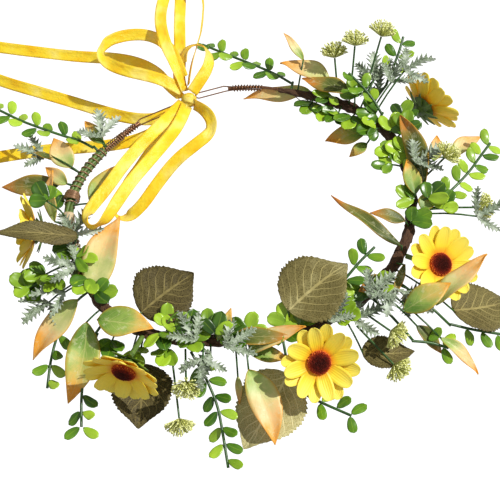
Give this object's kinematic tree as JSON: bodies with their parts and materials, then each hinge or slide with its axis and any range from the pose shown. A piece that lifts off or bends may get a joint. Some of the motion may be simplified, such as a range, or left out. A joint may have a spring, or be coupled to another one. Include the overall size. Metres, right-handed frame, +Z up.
{
  "type": "flower crown",
  "caption": "Open oval wire crown dressed with artificial sunflowers, leaves, sprigs and umbels, its two ends tied by a yellow satin ribbon.",
  "frame": {"origin": "centre of the head opening, on the surface that the crown lies on", "axes": "+Z up out of the ring, along the head that wears it; +X along the ring's long axis; -Y towards the side with the most flowers"},
  "size_m": [0.3388, 0.3635, 0.0616],
  "materials": {
    "steel_wire": "bright drawn wire",
    "thin_wire": "copper-brown varnished wire",
    "binding_wire": "copper-brown varnished wire",
    "vine": "twisted dark brown paper",
    "green_stem": "moulded green stems",
    "twine": "twisted two-tone twine",
    "paper_strip": "flat crepe paper",
    "ribbon": "yellow satin",
    "petal": "printed satin-finish cloth",
    "flower_disc": "granular flocked foam",
    "calyx": "moulded green",
    "rose_leaf": "veined printed cloth",
    "printed_leaf": "green to orange printed cloth",
    "eucalyptus": "soft moulded plastic",
    "box_leaf": "soft moulded plastic",
    "frosted_leaf": "flocked silver-green",
    "umbel": "fringed soft plastic"
  },
  "bodies": {
    "crown": {"binding_wire": "binding_wire", "box_leaves_left": "box_leaf", "box_leaves_right": "box_leaf", "frosted_leaves_left": "frosted_leaf", "frosted_leaves_right": "frosted_leaf", "left_eyelet": "thin_wire", "paper_strip": "paper_strip", "ribbon_knot": "ribbon", "ribbon_loop_inner_left": "ribbon", "ribbon_loop_inner_right": "ribbon", "ribbon_loop_left": "ribbon", "ribbon_loop_up": "ribbon", "ribbon_short_end": "ribbon", "ribbon_tail_left_lower": "ribbon", "ribbon_tail_left_middle": "ribbon", "ribbon_tail_left_upper": "ribbon", "ribbon_tail_up": "ribbon", "right_eyelet": "thin_wire", "ring_wire": "steel_wire", "rose_leaf_left": "rose_leaf", "rose_leaves_lower": "rose_leaf", "rose_leaves_lower_left": "rose_leaf", "rose_leaves_right": "rose_leaf", "sprig_inner": "eucalyptus", "sprig_left": "eucalyptus", "sprig_top_left": "eucalyptus", "sprig_upper_right": "eucalyptus", "sprigs_lower": "eucalyptus", "sprigs_lower_left": "eucalyptus", "sprigs_right": "eucalyptus", "sprigs_top": "eucalyptus", "stem_bundle": "green_stem", "sunflower_left_stem": "calyx", "sunflower_lower_left_stem": "calyx", "sunflower_lower_stem": "calyx", "sunflower_right_stem": "calyx", "sunflower_upper_right_stem": "calyx", "twine_wrap": "twine", "umbels_lower": "umbel", "umbels_upper": "umbel", "vine_leaves_left": "printed_leaf", "vine_leaves_lower": "printed_leaf", "vine_leaves_lower_left": "printed_leaf", "vine_leaves_lower_right": "printed_leaf", "vine_leaves_right": "printed_leaf", "vine_leaves_top": "printed_leaf", "vine_leaves_upper_left": "printed_leaf", "vine_leaves_upper_right": "printed_leaf", "vine_wrap": "vine"},
    "bloom_left": {"sunflower_left_petals": "petal", "sunflower_left_disc": "flower_disc"},
    "bloom_lower_left": {"sunflower_lower_left_petals": "petal", "sunflower_lower_left_disc": "flower_disc"},
    "bloom_lower": {"sunflower_lower_petals": "petal", "sunflower_lower_disc": "flower_disc"},
    "bloom_right": {"sunflower_right_petals": "petal", "sunflower_right_disc": "flower_disc"},
    "bloom_upper_right": {"sunflower_upper_right_petals": "petal", "sunflower_upper_right_disc": "flower_disc"}
  },
  "joints": [
    {"name": "bloom_left_turn", "type": "hinge", "parent": "crown", "child": "bloom_left", "pos_m": [-0.119, -0.017, 0.0232], "axis": [-0.9988, 0, 0.0499], "continuous": true},
    {"name": "bloom_lower_left_turn", "type": "hinge", "parent": "crown", "child": "bloom_lower_left", "pos_m": [-0.062, -0.107, 0.03], "axis": [-0.2526, -0.9599, 0.1213], "continuous": true},
    {"name": "bloom_lower_turn", "type": "hinge", "parent": "crown", "child": "bloom_lower", "pos_m": [0.043, -0.103, 0.029], "axis": [0.1468, -0.6167, 0.7734], "continuous": true},
    {"name": "bloom_right_turn", "type": "hinge", "parent": "crown", "child": "bloom_right", "pos_m": [0.113, -0.043, 0.029], "axis": [0.3233, -0.3048, 0.8959], "continuous": true},
    {"name": "bloom_upper_right_turn", "type": "hinge", "parent": "crown", "child": "bloom_upper_right", "pos_m": [0.113, 0.072, 0.0232], "axis": [0.7214, 0.6913, 0.0401], "continuous": true}
  ]
}
